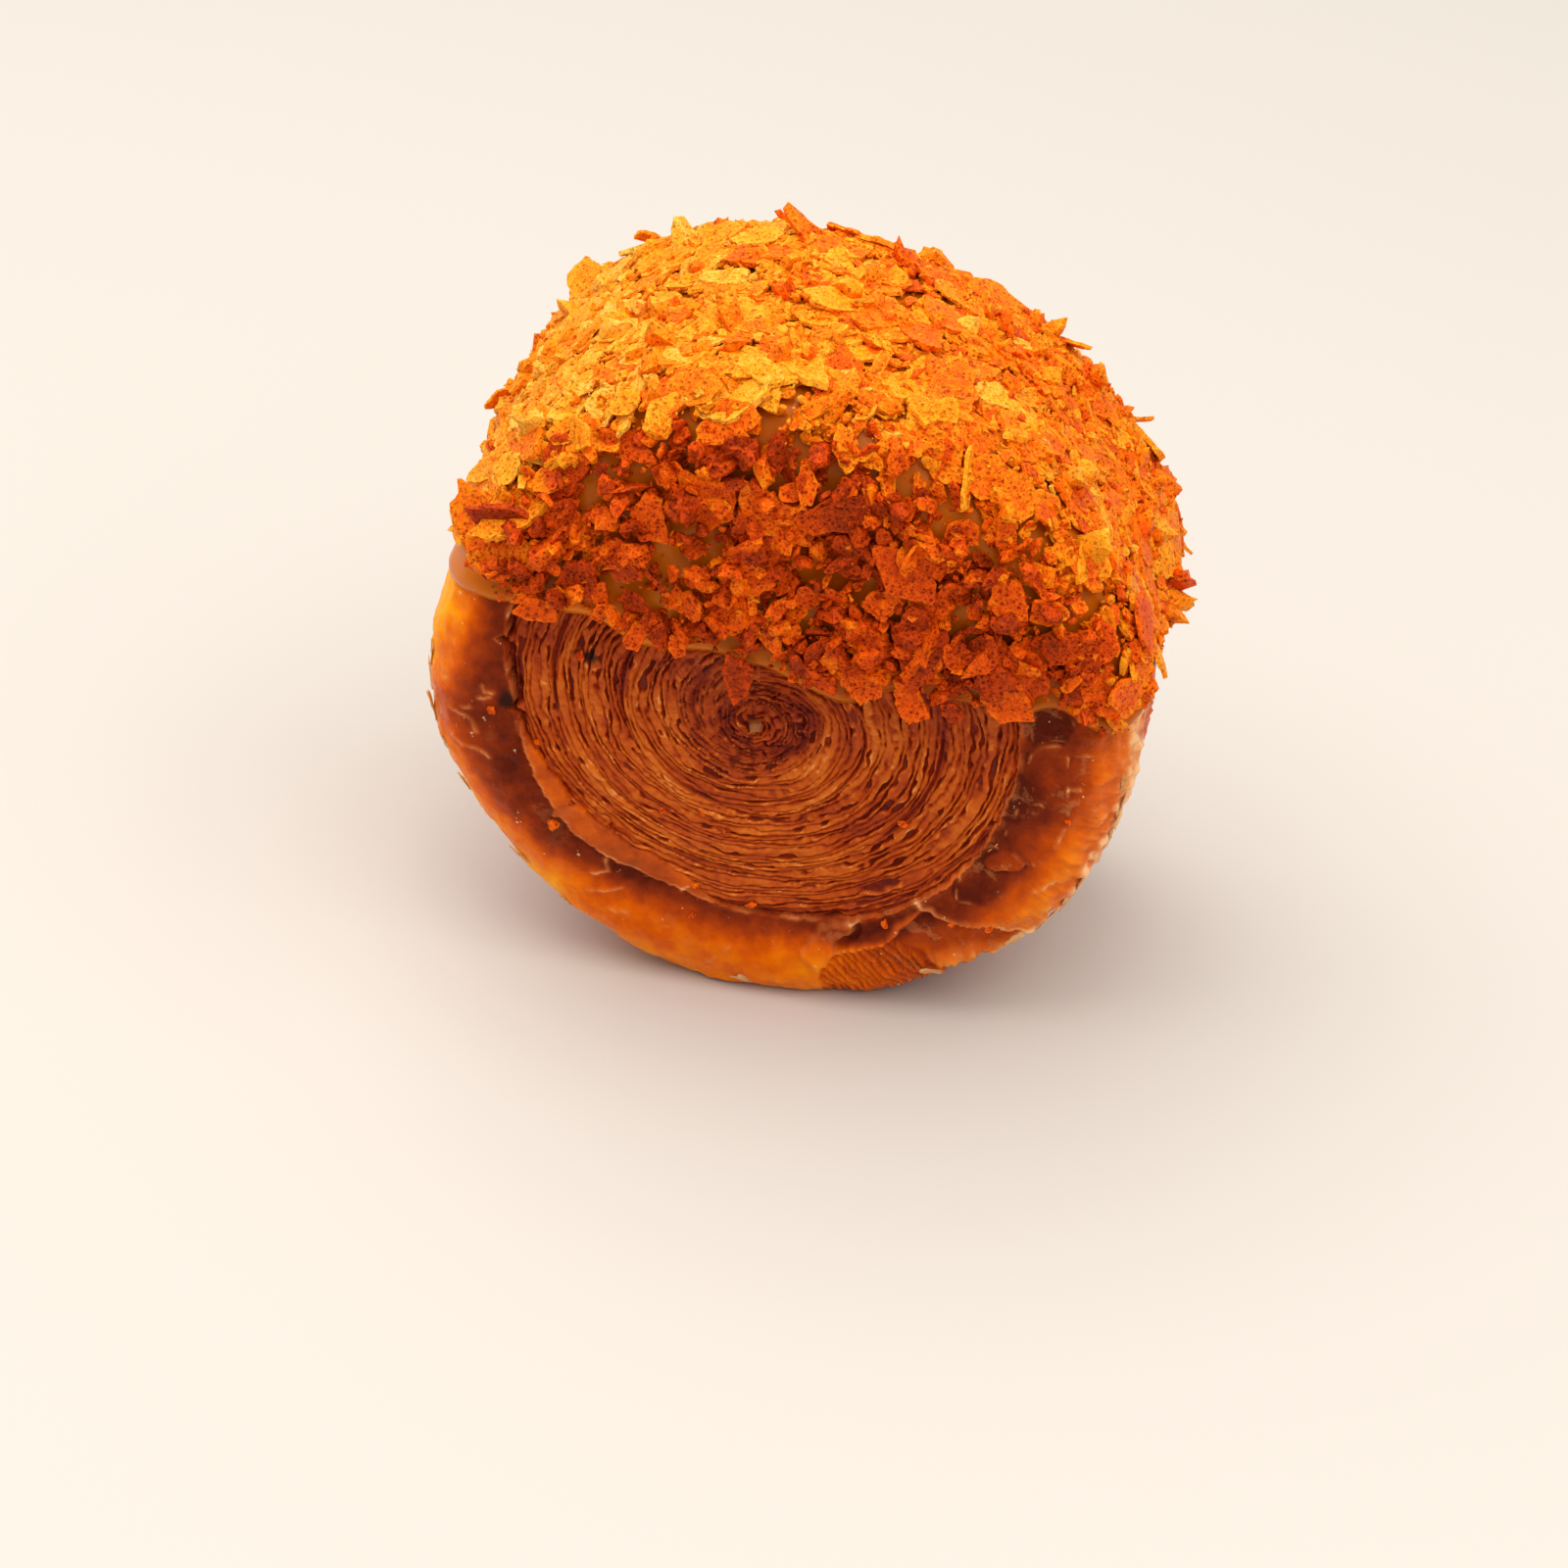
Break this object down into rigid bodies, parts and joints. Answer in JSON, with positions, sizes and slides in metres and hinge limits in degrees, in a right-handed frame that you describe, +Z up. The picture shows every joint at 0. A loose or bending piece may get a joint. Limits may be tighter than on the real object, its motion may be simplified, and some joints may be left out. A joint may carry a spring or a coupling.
{
  "type": "croissant roll",
  "caption": "Round croissant roll standing on its edge, with spiral end faces and an upper half coated in caramel glaze and wafer crumbs.",
  "frame": {"origin": "on the flat that the roll rests on, below the middle of the whole", "axes": "+Z up, Y along the drum's axis with the front face towards -Y, X to the right as seen from the front"},
  "size_m": [0.1018, 0.067, 0.1012],
  "materials": {
    "crust": "glossy baked crust, red-brown flaky layers on the faces, amber at the rims",
    "crumbs": "matt porous orange wafer crumbs in a tan caramel glaze"
  },
  "bodies": {
    "root": {"pastry": "crust", "crumb_coat": "crumbs"}
  },
  "joints": []
}
